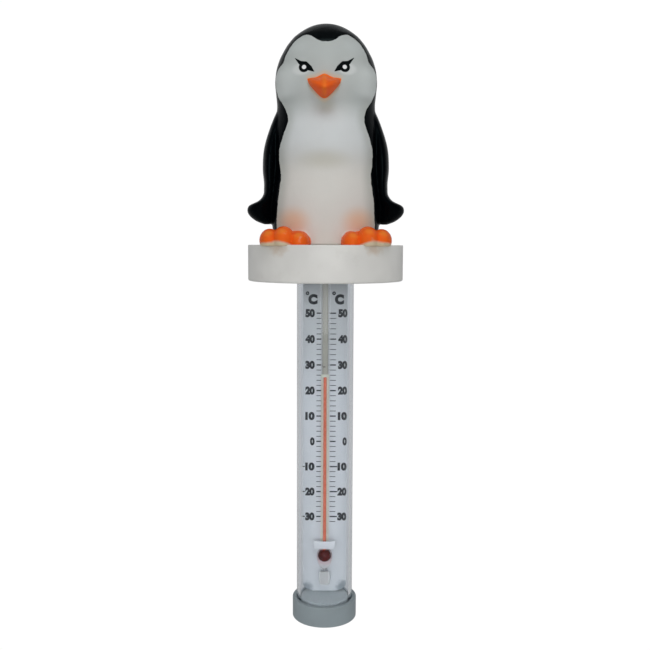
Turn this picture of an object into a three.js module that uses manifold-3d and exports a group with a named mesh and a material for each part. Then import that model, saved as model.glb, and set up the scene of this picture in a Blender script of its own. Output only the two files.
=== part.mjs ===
// Floating pool thermometer: a hollow penguin figure stands on a round float, and a clear tube
// hangs below the float with a scale card, a spirit thermometer and a ballast in its end cap.
// Millimetres, +Z up. The figure faces -Y. The origin is on the tube's axis at the waterline,
// half way up the float disc.
import * as THREE from 'three';
import { mergeVertices } from 'three/addons/utils/BufferGeometryUtils.js';
import Module from 'manifold-3d';

const wasm = await Module();
wasm.setup();

// ---------------------------------------------------------------- driving dimensions

const GAP = 0.3;            // clearance between neighbouring pieces
const FACETS = 40;          // facets round the large turned pieces
const FINE_FACETS = 20;     // facets round the thermometer's glass and spirit

// Float disc
const DISC_R = 27;
const DISC_THICK = 12.4;
const DISC_WALL = 1.5;
const DISC_TOP = DISC_THICK / 2;
const DISC_BASE = -DISC_THICK / 2;
const DISC_EDGE = 0.6;      // chamfer at the disc's rims

// Clear tube and its end cap
const TUBE_R = 10;
const TUBE_BORE_R = 8.8;
const TUBE_TOP = 3.2;
const CAP_R = 11.5;
const CAP_HEIGHT = 7.2;
const CAP_FLOOR = 1.5;
const CAP_BASE = -127.9;
const CAP_EDGE = 0.6;
const SEAL_THICK = 1;

// Scale card: where each temperature's mark stands
const DEGREE = 0.9265;      // distance between marks one degree apart
const MARK_50 = -17.87;
const READING = 25.8;       // temperature shown at rest
const CARD_HALF_WIDTH = 8.2;
const CARD_FRONT_Y = 2;
const CARD_THICK = 0.5;
const CARD_TOP = 1.5;
const CARD_CHAMFER = { across: 3.7, up: 2.6 };

// Glass thermometer
const STEM_Y = -0.9;        // the stem stands this far in front of the tube's axis
const STEM_R = 1.45;
const STEM_TOP = 0.5;
const BORE_R = 0.75;
const SPIRIT_R = 0.45;
const BULB_R = 2.75;
const BULB_Z = -105.5;
const BULB_WALL = 0.45;
const GLASS_TIP = -110.5;
const NECK_Z = -103.4;      // where the bulb's filling passes into the column
const MENISCUS_LENGTH = 0.5;

// Clips and bulb rest, moulded pieces that stand on the card
const CLIP_WIDTH = 7.9;
const CLIP_HEIGHT = 3.2;
const CLIP_HORN = 0.9;
const LOWER_CLIP_Z = -102.2;
const UPPER_CLIP_Z = -4.6;
const REST_WIDTH = 3.9;
const REST_BASE = -115.9;

// Figure. Heights are measured from the disc's top.
const FIGURE_HEIGHT = 74.9;
const FIGURE_WALL = 1.7;
const DEPTH_RATIO = 0.97;   // the body is a little less deep than wide
const BODY_OUTLINE = [      // half width and height, from the base to the crown
  [17.5, GAP], [18.6, 7], [19.1, 14], [18.4, 25], [18.4, 33], [17.7, 41], [16.9, 47.2],
  [17.5, 54], [16.6, 61.1], [13.9, 66.8], [9.6, 71.5], [5.2, 74], [0, FIGURE_HEIGHT],
];
const FLIPPER_FRONT = [     // the right flipper seen from the front, from the shoulder down
  [13, 46.5], [17.2, 46], [19.8, 39.5], [21.4, 33], [21.6, 25], [21.4, 18.6],
  [23.4, 15.4], [27, 13.6], [26.7, 10.4], [24.5, 8.3], [21, 7.2], [15, 7.4],
];
const FLIPPER_SIDE = [      // the same flipper seen from the side: depth and height
  [-3.5, 46.5], [-7.6, 36], [-8.6, 25], [-7.2, 14], [-3.6, 7.4],
  [4.2, 7.4], [8.4, 14], [9.4, 25], [8.2, 36], [4, 46.5],
];
const FLIPPER_REACH = 40;   // more than the flipper's size, for the two crossed extrusions
const TOES = [              // centre x, front y, half width and top height of each right toe
  { x: 8.1, front: -25, half: 3.4, top: 4.4 },
  { x: 13.6, front: -25.4, half: 3.6, top: 6 },
  { x: 18.2, front: -23.2, half: 3.5, top: 5 },
];
const TOE_LENGTH = 13;
const TOE_DROOP = 3;        // how far a toe's rim hangs below the disc's top, outside its edge
const BEAK = { z: 50.7, y: -16.2, half: [5.5, 7.2, 4.1] };
const PLUG_R = 14.2;
const PLUG_THICK = 3.2;

// ---------------------------------------------------------------- materials

const material = (color, roughness, extra = {}) =>
  new THREE.MeshStandardMaterial({ color, roughness, metalness: 0, ...extra });

const whiteVinyl = material('#e2e2de', 0.45);
const whitePlastic = material('#e8e6e0', 0.4);
const clearPlastic = material('#dfe6ea', 0.08, { transparent: true, opacity: 0.25 });
const greyPlastic = material('#87949b', 0.5);
const cardPlastic = material('#e4e8ec', 0.6);
const glass = material('#f4f4f0', 0.03, { transparent: true, opacity: 0.35 });
const spirit = material('#c4382c', 0.2);
const clipPlastic = material('#f0f0f0', 0.4);
const rubber = material('#3b4044', 0.8);
const greyFoam = material('#9aa2a6', 0.9);
const steel = material('#8d9194', 0.35, { metalness: 1 });

// ---------------------------------------------------------------- geometry helpers

const model = new THREE.Group();

function addPart(name, geometry, partMaterial) {
  const mesh = new THREE.Mesh(geometry, partMaterial);
  mesh.name = name;
  model.add(mesh);
  return mesh;
}

// A turned piece: outline is [radius, z] pairs, listed anticlockwise in the radius-z plane.
function turned(outline, facets = FACETS, y = 0) {
  const points = outline.map(([r, z]) => new THREE.Vector2(r, z));
  return new THREE.LatheGeometry(points, facets).rotateX(Math.PI / 2).translate(0, y, 0);
}

function ring(inner, outer, low, high) {
  return turned([[inner, low], [outer, low], [outer, high], [inner, high], [inner, low]]);
}

function slug(radius, low, high) {
  return turned([[0, low], [radius, low], [radius, high], [0, high]]);
}

// A flat outline of [x, z] pairs, made thick along Y from the front face to the back face.
function plate(outline, front, back) {
  const shape = new THREE.Shape(outline.map(([x, z]) => new THREE.Vector2(x, z)));
  return new THREE.ExtrudeGeometry(shape, { depth: back - front, bevelEnabled: false })
    .rotateX(Math.PI / 2)
    .translate(0, back, 0);
}

function solid(geometry) {
  const bare = geometry.index ? geometry.clone() : geometry;
  bare.deleteAttribute('normal');
  bare.deleteAttribute('uv');
  const merged = mergeVertices(bare);
  return new wasm.Manifold(new wasm.Mesh({
    numProp: 3,
    vertProperties: new Float32Array(merged.attributes.position.array),
    triVerts: new Uint32Array(merged.index.array),
  }));
}

function geometryOf(manifold) {
  const mesh = manifold.getMesh();
  const geometry = new THREE.BufferGeometry();
  geometry.setAttribute('position', new THREE.BufferAttribute(mesh.vertProperties, mesh.numProp));
  geometry.setIndex(new THREE.BufferAttribute(mesh.triVerts, 1));
  geometry.computeVertexNormals();
  return geometry;
}

function ellipsoid([halfX, halfY, halfZ], [x, y, z], around = 18, rows = 10) {
  return new THREE.SphereGeometry(1, around, rows)
    .rotateX(Math.PI / 2)
    .scale(halfX, halfY, halfZ)
    .translate(x, y, z);
}

const mark = (degrees) => MARK_50 - (50 - degrees) * DEGREE;

// ---------------------------------------------------------------- figure

function bodySolid(inset, rows, facets) {
  const curve = new THREE.SplineCurve(BODY_OUTLINE.map(([r, h]) => new THREE.Vector2(r, h)));
  const side = curve.getPoints(rows).slice(0, -1).map(({ x, y }) => [x - inset, y - inset]);
  const base = inset ? [[0, -GAP], [side[0][0], -GAP]] : [[0, GAP]];
  const inside = side.filter(([r, h]) => r > 1 && h > -GAP);
  const outline = [...base, ...inside, [0, FIGURE_HEIGHT - inset]];
  return solid(turned(outline, facets).scale(1, DEPTH_RATIO, 1).translate(0, 0, DISC_TOP));
}

function flipperSolid(side) {
  const curved = (points) => new THREE.SplineCurve(
    [...points, points[0]].map(([a, b]) => new THREE.Vector2(a, b)),
  ).getPoints(points.length * 3).slice(0, -1).map(({ x, y }) => [x, y]);
  const front = plate(curved(FLIPPER_FRONT), -FLIPPER_REACH / 2, FLIPPER_REACH / 2);
  const profile = plate(curved(FLIPPER_SIDE), -FLIPPER_REACH, 0).rotateZ(Math.PI / 2);
  const flipper = solid(front).intersect(solid(profile)).translate([0, 0, DISC_TOP]);
  return side > 0 ? flipper : flipper.mirror([1, 0, 0]);
}

function footSolid(side) {
  const toes = TOES.map(({ x, front, half, top }) => solid(ellipsoid(
    [half, TOE_LENGTH / 2, (top + TOE_DROOP) / 2],
    [side * x, front + TOE_LENGTH / 2, DISC_TOP + (top - TOE_DROOP) / 2],
  )));
  return toes.reduce((foot, toe) => foot.add(toe));
}

function figureShell() {
  const beakHeight = DISC_TOP + BEAK.z;
  let figure = bodySolid(0, 28, 44).add(solid(ellipsoid(BEAK.half, [0, BEAK.y, beakHeight])));
  for (const side of [-1, 1]) {
    figure = figure.add(flipperSolid(side)).add(footSolid(side));
  }
  const discSpace = solid(slug(DISC_R + GAP, DISC_BASE, DISC_TOP + GAP));
  return geometryOf(figure.subtract(bodySolid(FIGURE_WALL, 16, 32)).subtract(discSpace));
}

addPart('penguin_shell', figureShell(), whiteVinyl);

// Round stopper in the figure's open base, which shuts the hollow and is glued to the disc
const plugBase = DISC_TOP + GAP;
addPart('figure_base_plug', turned([
  [0, plugBase],
  [PLUG_R, plugBase],
  [PLUG_R, plugBase + PLUG_THICK / 2],
  [PLUG_R - 1, plugBase + PLUG_THICK],
  [0, plugBase + PLUG_THICK],
]), whitePlastic);

// ---------------------------------------------------------------- float disc

// Upper shell: top plate and side wall in one, open downwards
addPart('float_disc_shell', turned([
  [0, DISC_TOP - DISC_WALL],
  [DISC_R - DISC_WALL, DISC_TOP - DISC_WALL],
  [DISC_R - DISC_WALL, DISC_BASE],
  [DISC_R - DISC_EDGE, DISC_BASE],
  [DISC_R, DISC_BASE + DISC_EDGE],
  [DISC_R, DISC_TOP - DISC_EDGE],
  [DISC_R - DISC_EDGE, DISC_TOP],
  [0, DISC_TOP],
]), whitePlastic);

// Cover: flat ring that closes the disc from below, with a hole for the tube
const coverTop = DISC_BASE + DISC_WALL;
addPart('float_disc_cover',
  ring(TUBE_R + GAP, DISC_R - DISC_WALL - GAP, DISC_BASE, coverTop), whitePlastic);

// Socket: collar under the top plate that the tube's upper end is glued into
const socketTop = DISC_TOP - DISC_WALL - GAP;
const socketBase = coverTop + 2;
const socketWall = 1.9;
const flangeThick = 1.5;
const flangeWidth = 2.3;
addPart('tube_socket', turned([
  [TUBE_R + GAP, socketBase],
  [TUBE_R + GAP + socketWall, socketBase],
  [TUBE_R + GAP + socketWall, socketTop - flangeThick],
  [TUBE_R + GAP + socketWall + flangeWidth, socketTop - flangeThick],
  [TUBE_R + GAP + socketWall + flangeWidth, socketTop],
  [TUBE_BORE_R + GAP, socketTop],
  [TUBE_BORE_R + GAP, TUBE_TOP + GAP],
  [TUBE_R + GAP, TUBE_TOP + GAP],
  [TUBE_R + GAP, socketBase],
]), whitePlastic);

// Seal: rubber ring round the tube between the cover and the socket
addPart('socket_seal',
  ring(TUBE_R + GAP, TUBE_R + GAP + socketWall, coverTop + GAP, socketBase - GAP), rubber);

// ---------------------------------------------------------------- clear tube

const capFloorTop = CAP_BASE + CAP_FLOOR;
const tubeBase = capFloorTop + SEAL_THICK + GAP;
addPart('clear_tube', ring(TUBE_BORE_R, TUBE_R, tubeBase, TUBE_TOP), clearPlastic);

addPart('tube_top_plug', slug(TUBE_BORE_R - GAP, CARD_TOP + GAP, TUBE_TOP), whitePlastic);

// ---------------------------------------------------------------- end cap and ballast

addPart('end_cap', turned([
  [0, CAP_BASE],
  [CAP_R - CAP_EDGE, CAP_BASE],
  [CAP_R, CAP_BASE + CAP_EDGE],
  [CAP_R, CAP_BASE + CAP_HEIGHT],
  [TUBE_R + GAP, CAP_BASE + CAP_HEIGHT],
  [TUBE_R + GAP, capFloorTop],
  [0, capFloorTop],
]), greyPlastic);

addPart('cap_seal',
  ring(TUBE_BORE_R + GAP, TUBE_R, capFloorTop, capFloorTop + SEAL_THICK), rubber);

const ballastTop = capFloorTop + 4.8;
const padTop = ballastTop + 1.3;
addPart('ballast_weight', slug(TUBE_BORE_R - GAP, capFloorTop, ballastTop), steel);
addPart('ballast_pad', slug(TUBE_BORE_R - GAP, ballastTop, padTop), greyFoam);

// ---------------------------------------------------------------- scale card and clips

const cardBase = padTop + GAP;
const chamferX = CARD_HALF_WIDTH - CARD_CHAMFER.across;
const chamferZ = cardBase + CARD_CHAMFER.up;
addPart('scale_card', plate([
  [-chamferX, cardBase],
  [chamferX, cardBase],
  [CARD_HALF_WIDTH, chamferZ],
  [CARD_HALF_WIDTH, CARD_TOP],
  [-CARD_HALF_WIDTH, CARD_TOP],
  [-CARD_HALF_WIDTH, chamferZ],
], CARD_FRONT_Y, CARD_FRONT_Y + CARD_THICK), cardPlastic);

// Clip: a saddle with two horns that holds the stem in front of the card
function stemClip(name, base) {
  const top = base + CLIP_HEIGHT;
  const half = CLIP_WIDTH / 2;
  const front = STEM_Y - STEM_R - GAP - 0.8;
  const saddle = solid(plate([
    [-half + 0.5, base],
    [half - 0.5, base],
    [half, base + 0.5],
    [half, top],
    [half - CLIP_HORN, top],
    [half - CLIP_HORN * 1.6, top - CLIP_HORN],
    [-half + CLIP_HORN * 1.6, top - CLIP_HORN],
    [-half + CLIP_HORN, top],
    [-half, top],
    [-half, base + 0.5],
  ], front, CARD_FRONT_Y));
  const stemSpace = turned([
    [0, base - 1],
    [STEM_R + GAP, base - 1],
    [STEM_R + GAP, top + 1],
    [0, top + 1],
  ], FINE_FACETS, STEM_Y);
  addPart(name, geometryOf(saddle.subtract(solid(stemSpace))), clipPlastic);
}

stemClip('upper_stem_clip', UPPER_CLIP_Z);
stemClip('lower_stem_clip', LOWER_CLIP_Z);

const restHalf = REST_WIDTH / 2;
const restTop = GLASS_TIP - GAP;
addPart('bulb_rest', plate([
  [-restHalf + 0.6, REST_BASE],
  [restHalf - 0.6, REST_BASE],
  [restHalf, REST_BASE + 0.8],
  [restHalf, restTop],
  [-restHalf, restTop],
  [-restHalf, REST_BASE + 0.8],
], STEM_Y - restHalf, CARD_FRONT_Y), clipPlastic);

// ---------------------------------------------------------------- glass thermometer

// Points on an ellipse round the bulb's centre, from one angle above the level to another
function bulbArc(radius, halfHeight, from, to, steps) {
  return Array.from({ length: steps + 1 }, (_, i) => {
    const angle = from + (to - from) * i / steps;
    return [radius * Math.cos(angle), BULB_Z + halfHeight * Math.sin(angle)];
  });
}

const cavityR = BULB_R - BULB_WALL;
const shoulder = Math.acos(STEM_R / BULB_R);
const boreAngle = Math.acos(BORE_R / cavityR);
const glassOutline = [
  [0, GLASS_TIP],
  [1.3, GLASS_TIP + 0.4],
  ...bulbArc(BULB_R, BULB_R + 0.9, -0.8, shoulder, 7),
  [STEM_R, STEM_TOP],
  [BORE_R, STEM_TOP],
  ...bulbArc(cavityR, cavityR, boreAngle, -Math.PI / 2, 9).slice(0, -1),
  [0, BULB_Z - cavityR],
];
addPart('thermometer_glass', turned(glassOutline, FINE_FACETS, STEM_Y), glass);

// The spirit: what fills the bulb, the column that lengthens, and the column's moving top
const fillR = cavityR - GAP;
const spiritTop = mark(READING);
const columnTop = spiritTop - MENISCUS_LENGTH;
const neckAngle = Math.acos(SPIRIT_R / fillR);
addPart('spirit_bulb_fill', turned([
  [0, BULB_Z - fillR],
  ...bulbArc(fillR, fillR, -Math.PI / 2, neckAngle, 8).slice(1),
  [SPIRIT_R, NECK_Z],
  [0, NECK_Z],
], FINE_FACETS, STEM_Y), spirit);

addPart('spirit_column', turned([
  [0, NECK_Z],
  [SPIRIT_R, NECK_Z],
  [SPIRIT_R, columnTop],
  [0, columnTop],
], FINE_FACETS, STEM_Y), spirit);

addPart('spirit_meniscus', turned([
  [0, columnTop],
  [SPIRIT_R, columnTop],
  [SPIRIT_R, spiritTop - 0.2],
  [SPIRIT_R / 2, spiritTop],
  [0, spiritTop],
], FINE_FACETS, STEM_Y), spirit);

export default model;
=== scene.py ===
"""Looks of the floating pool thermometer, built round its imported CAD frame.

Blender works in metres. The figure and its paint are laid out in millimetres, with heights
measured from the float disc's top, and are scaled when their meshes are made.
"""
import math

import bmesh
import bpy
import numpy as np
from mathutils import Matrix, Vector


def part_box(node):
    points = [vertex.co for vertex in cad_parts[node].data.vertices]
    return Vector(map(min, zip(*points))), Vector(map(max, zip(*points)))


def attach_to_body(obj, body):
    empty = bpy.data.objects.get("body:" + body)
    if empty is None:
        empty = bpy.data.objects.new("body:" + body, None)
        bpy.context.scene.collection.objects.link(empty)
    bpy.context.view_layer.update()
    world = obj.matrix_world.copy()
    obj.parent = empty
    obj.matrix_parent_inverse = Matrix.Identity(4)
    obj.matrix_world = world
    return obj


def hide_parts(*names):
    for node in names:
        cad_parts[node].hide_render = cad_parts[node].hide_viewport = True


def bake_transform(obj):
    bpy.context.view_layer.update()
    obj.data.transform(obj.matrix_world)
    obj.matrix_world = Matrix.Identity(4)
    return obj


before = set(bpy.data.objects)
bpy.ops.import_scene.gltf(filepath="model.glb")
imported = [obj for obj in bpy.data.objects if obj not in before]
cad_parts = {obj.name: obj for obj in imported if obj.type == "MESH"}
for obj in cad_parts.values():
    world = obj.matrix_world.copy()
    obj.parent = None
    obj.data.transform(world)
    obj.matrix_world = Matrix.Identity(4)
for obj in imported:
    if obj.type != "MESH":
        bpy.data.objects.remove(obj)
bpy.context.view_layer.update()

MM = 0.001


# -------- places from the frame

def node_box(node):
    """A node's low and high corners in millimetres."""
    low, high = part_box(node)
    return [v / MM for v in low], [v / MM for v in high]


disc_low, disc_high = node_box("float_disc_shell")
cover_low, cover_high = node_box("float_disc_cover")
tube_low, tube_high = node_box("clear_tube")
cap_low, cap_high = node_box("end_cap")
seal_low, seal_high = node_box("cap_seal")
ballast_low, ballast_high = node_box("ballast_weight")
pad_low, pad_high = node_box("ballast_pad")
card_low, card_high = node_box("scale_card")
glass_low, glass_high = node_box("thermometer_glass")
fill_low, fill_high = node_box("spirit_bulb_fill")
column_low, column_high = node_box("spirit_column")
tip_low, tip_high = node_box("spirit_meniscus")
rest_low, rest_high = node_box("bulb_rest")

DISC_R, DISC_TOP, DISC_BASE = disc_high[0], disc_high[2], disc_low[2]
TUBE_R = tube_high[0]
TUBE_WALL = 1.2
TUBE_BORE_R = TUBE_R - TUBE_WALL
FIT = 0.3             # play between two parts that are pushed together
CARD_FRONT = card_low[1]
STEM_Y = (column_low[1] + column_high[1]) / 2
STEM_R = 1.45
SPIRIT_R = column_high[0] * 0.9
BULB_Z = fill_low[2] + 2.05
NECK_Z = column_low[2]
COLUMN_TOP = column_high[2]


# -------- curves and meshes

def spline(keys, x):
    """Smooth curve through keys, a list of (x, y, ...) rows, read at x: one array per y."""
    keys = np.array(keys, float)
    t, values = keys[:, 0], keys[:, 1:]
    if t[0] > t[-1]:
        t, values = t[::-1], values[::-1]
    slope = np.gradient(values, t, axis=0)
    x = np.clip(np.asarray(x, float), t[0], t[-1])
    i = np.clip(np.searchsorted(t, x) - 1, 0, len(t) - 2)
    width = (t[i + 1] - t[i])[..., None]
    u = ((x - t[i])[..., None]) / width
    a, b = values[i], values[i + 1]
    ma, mb = slope[i] * width, slope[i + 1] * width
    out = ((2 * u ** 3 - 3 * u ** 2 + 1) * a + (u ** 3 - 2 * u ** 2 + u) * ma
           + (3 * u ** 2 - 2 * u ** 3) * b + (u ** 3 - u ** 2) * mb)
    return [out[..., k] for k in range(values.shape[1])]


def bell(x, centre, width):
    """Smooth bump of height 1."""
    return np.exp(-((x - centre) / width) ** 2)


def mesh_object(name, verts, faces, smooth_angle=None):
    """Object from millimetre coordinates. Edges sharper than smooth_angle stay sharp."""
    mesh = bpy.data.meshes.new(name)
    mesh.from_pydata([tuple(v) for v in np.asarray(verts, float) * MM], [], faces)
    mesh.update()
    obj = bpy.data.objects.new(name, mesh)
    bpy.context.scene.collection.objects.link(obj)
    mesh.shade_smooth()
    if smooth_angle:
        mesh.set_sharp_from_angle(angle=math.radians(smooth_angle))
    return obj


def rounded(outline, radius, closed, steps=6, support=0.06):
    """Rounds an outline's corners, with a close point each side that keeps the flats flat."""
    count = len(outline)
    radii = radius if isinstance(radius, (list, tuple)) else [radius] * count
    points = []
    for i, corner in enumerate(outline):
        at_end = not closed and i in (0, count - 1)
        if at_end or not radii[i]:
            points.append(tuple(corner))
            continue
        p = np.array(corner, float)
        before = np.array(outline[i - 1], float) - p
        after = np.array(outline[(i + 1) % count], float) - p
        room = min(np.linalg.norm(before), np.linalg.norm(after)) * 0.48
        cut = min(radii[i], room)
        before /= np.linalg.norm(before)
        after /= np.linalg.norm(after)
        points.append(tuple(p + before * (cut + min(support, room - cut))))
        for k in range(steps + 1):
            u = k / steps
            points.append(tuple(p + before * cut * (1 - u) ** 2 + after * cut * u ** 2))
        points.append(tuple(p + after * (cut + min(support, room - cut))))
    return points


def turned(name, outline, segments=192, y=0.0, sharp=40):
    """Turned piece. outline is (radius, z), from axis to axis or a closed ring."""
    on_axis = outline[0][0] < 1e-6
    verts, rows = [], []
    for r, z in outline:
        if r < 1e-6:
            rows.append([len(verts)] * segments)
            verts.append((0, y, z))
            continue
        rows.append(list(range(len(verts), len(verts) + segments)))
        for k in range(segments):
            a = 2 * math.pi * k / segments
            verts.append((r * math.cos(a), y + r * math.sin(a), z))
    if not on_axis:
        rows.append(rows[0])
    faces = []
    for lower, upper in zip(rows, rows[1:]):
        for k in range(segments):
            n = (k + 1) % segments
            face = list(dict.fromkeys([lower[k], lower[n], upper[n], upper[k]]))
            if len(face) > 2:
                faces.append(face)
    return mesh_object(name, verts, faces, sharp)


def plate(name, outline, front, back, bevel=0.15, sharp=30):
    """Flat outline of (x, z) made thick along Y, with rounded edges."""
    mesh = bmesh.new()
    verts = [mesh.verts.new((x * MM, front * MM, z * MM)) for x, z in outline]
    face = mesh.faces.new(verts)
    made = bmesh.ops.extrude_face_region(mesh, geom=[face])["geom"]
    moved = [g for g in made if isinstance(g, bmesh.types.BMVert)]
    bmesh.ops.translate(mesh, verts=moved, vec=(0, (back - front) * MM, 0))
    bmesh.ops.recalc_face_normals(mesh, faces=mesh.faces)
    bmesh.ops.bevel(mesh, geom=list(mesh.edges), offset=bevel * MM, segments=3, affect="EDGES",
                    profile=0.5, clamp_overlap=True)
    data = bpy.data.meshes.new(name)
    mesh.to_mesh(data)
    mesh.free()
    data.shade_smooth()
    data.set_sharp_from_angle(angle=math.radians(sharp))
    obj = bpy.data.objects.new(name, data)
    bpy.context.scene.collection.objects.link(obj)
    return obj


def loft(sections):
    """Closed skin through equal rings of points, capped at both ends: (verts, faces)."""
    count = len(sections[0])
    verts = [p for ring in sections for p in ring]
    faces = []
    for row in range(len(sections) - 1):
        for k in range(count):
            n = (k + 1) % count
            faces.append([row * count + k, row * count + n,
                          (row + 1) * count + n, (row + 1) * count + k])
    faces.append(list(range(count))[::-1])
    faces.append([(len(sections) - 1) * count + k for k in range(count)])
    return verts, faces


def joined(parts):
    """Several (verts, faces) pairs as one."""
    verts, faces = [], []
    for part_verts, part_faces in parts:
        start = len(verts)
        verts.extend(part_verts)
        faces.extend([[i + start for i in face] for face in part_faces])
    return verts, faces


def apply_modifiers(obj):
    """Bakes the modifiers into the mesh, and leaves it without material slots."""
    graph = bpy.context.evaluated_depsgraph_get()
    done = bpy.data.meshes.new_from_object(obj.evaluated_get(graph))
    done.materials.clear()
    obj.modifiers.clear()
    obj.data = done
    done.shade_smooth()


def cut_away(obj, tool):
    """Takes the tool's space out of the object, and removes the tool."""
    cut = obj.modifiers.new("cut", "BOOLEAN")
    cut.operation = "DIFFERENCE"
    cut.solver = "MANIFOLD"
    cut.object = tool
    apply_modifiers(obj)
    bpy.data.objects.remove(tool)


def attach(piece, material, body, node):
    """Dresses a visible piece, puts it under the empty of the body it rides, and hides the CAD node
    it stands for.
    """
    piece.data.materials.append(material)
    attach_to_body(piece, body)
    if node:
        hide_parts(node)


# -------- shader building blocks

class Shader:
    """A material's node tree, with one short method for each kind of node it uses."""

    def __init__(self, name):
        self.material = bpy.data.materials.new(name)
        self.material.use_nodes = True
        self.nodes = self.material.node_tree.nodes
        self.links = self.material.node_tree.links
        self.bsdf = self.nodes["Principled BSDF"]
        self.output = self.nodes["Material Output"]
        self.place = self.nodes.new("ShaderNodeTexCoord").outputs["Object"]

    def feed(self, socket, value):
        """Links a socket, or sets it when value is a constant."""
        if hasattr(value, "is_output"):
            self.links.new(value, socket)
        else:
            socket.default_value = value

    def maths(self, operation, *values):
        node = self.nodes.new("ShaderNodeMath")
        node.operation = operation
        for socket, value in zip(node.inputs, values):
            self.feed(socket, value)
        return node.outputs[0]

    def vector(self, operation, *values):
        node = self.nodes.new("ShaderNodeVectorMath")
        node.operation = operation
        for socket, value in zip(node.inputs, values):
            self.feed(socket, value)
        return node.outputs["Value" if operation in ("LENGTH", "DISTANCE") else "Vector"]

    def split(self, vector):
        node = self.nodes.new("ShaderNodeSeparateXYZ")
        self.feed(node.inputs[0], vector)
        return node.outputs

    def place_mm(self):
        """The piece's own x, y and z in millimetres."""
        return self.split(self.vector("DIVIDE", self.place, (MM, MM, MM)))

    def combine(self, x, y, z):
        node = self.nodes.new("ShaderNodeCombineXYZ")
        for socket, value in zip(node.inputs, (x, y, z)):
            self.feed(socket, value)
        return node.outputs[0]

    def mix(self, share, a, b):
        node = self.nodes.new("ShaderNodeMix")
        node.data_type = "RGBA"
        self.feed(node.inputs["Factor"], share)
        for socket, value in ((node.inputs[6], a), (node.inputs[7], b)):
            self.feed(socket, value if hasattr(value, "is_output") else (*value, 1.0))
        return node.outputs[2]

    def tint(self, base, mask, share, colour):
        """Base, with a share of another colour where the mask is 1."""
        return self.mix(self.maths("MULTIPLY", mask, share), base, colour)

    def oval(self, across, up, centre, halves):
        """Distance from an oval's centre, which is 1 on its edge."""
        offset = self.combine(self.maths("SUBTRACT", across, centre[0]),
                              self.maths("SUBTRACT", up, centre[1]), 0.0)
        return self.vector("LENGTH", self.vector("DIVIDE", offset, (*halves, 1)))

    def ramp(self, value, low, high, to_low=0.0, to_high=1.0, smooth=True):
        node = self.nodes.new("ShaderNodeMapRange")
        node.interpolation_type = "SMOOTHSTEP" if smooth else "LINEAR"
        for name, v in (("Value", value), ("From Min", low), ("From Max", high),
                        ("To Min", to_low), ("To Max", to_high)):
            self.feed(node.inputs[name], v)
        return node.outputs[0]

    def noise(self, scale, detail=3.0, roughness=0.55, stretch=None):
        """Noise between 0 and 1 over the piece's own place, scale in features per metre."""
        node = self.nodes.new("ShaderNodeTexNoise")
        where = self.place
        if stretch:
            where = self.vector("MULTIPLY", where, stretch)
        self.feed(node.inputs["Vector"], where)
        node.inputs["Scale"].default_value = scale
        node.inputs["Detail"].default_value = detail
        node.inputs["Roughness"].default_value = roughness
        return node.outputs["Fac"]

    def curve(self, value, keys, x_span, y_span):
        """Smooth curve through keys read at value. The spans are the curve's full scales."""
        node = self.nodes.new("ShaderNodeFloatCurve")
        curve = node.mapping.curves[0]
        node.mapping.use_clip = False
        ordered = sorted(keys)
        while len(curve.points) < len(ordered):
            curve.points.new(0.5, 0.5)
        for point, (x, y) in zip(curve.points, ordered):
            point.location = (x / x_span, y / y_span)
        node.mapping.update()
        self.feed(node.inputs["Value"], self.maths("DIVIDE", value, x_span))
        return self.maths("MULTIPLY", node.outputs[0], y_span)

    def bump(self, height, depth_mm, after=None):
        """Normal bent by a height, added to an earlier bump's normal if there is one."""
        node = self.nodes.new("ShaderNodeBump")
        node.inputs["Strength"].default_value = 1.0
        node.inputs["Distance"].default_value = depth_mm * MM
        self.feed(node.inputs["Height"], height)
        if after is not None:
            self.feed(node.inputs["Normal"], after)
        return node.outputs[0]

    def finish(self, colour, roughness, normal=None):
        self.feed(self.bsdf.inputs["Base Color"],
                  colour if hasattr(colour, "is_output") else (*colour, 1.0))
        self.feed(self.bsdf.inputs["Roughness"], roughness)
        if normal is not None:
            self.links.new(normal, self.bsdf.inputs["Normal"])
        return self.material


def shade(colour, factor):
    return tuple(c * factor for c in colour)


def moulded(name, colour, rough=(0.38, 0.52), grain=0.012, dirt=(0.5, 0.46, 0.4),
            dirt_share=0.08, specular=0.5, over=None):
    """Moulded plastic: slow colour drift, faint grime, uneven gloss and a fine moulded grain.

    over paints something more on the colour: it takes the shader and the colour so far.
    """
    s = Shader(name)
    drift = s.noise(70, 2.0)
    body = s.mix(s.ramp(drift, 0.3, 0.7), shade(colour, 0.955), shade(colour, 1.03))
    grime = s.maths("MULTIPLY", s.ramp(s.noise(210, 5.0, 0.65), 0.52, 0.78), dirt_share)
    stained = s.mix(grime, body, tuple(c * d for c, d in zip(colour, dirt)))
    gloss = s.ramp(s.noise(420, 4.0), 0.25, 0.75, *rough)
    fine = s.bump(s.noise(5200, 2.0), grain)
    wavy = s.bump(s.noise(160, 1.0), grain * 6, after=fine)
    s.bsdf.inputs["Specular IOR Level"].default_value = specular
    return s.finish(over(s, stained) if over else stained, gloss, wavy)


# -------- figure: driving curves

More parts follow.
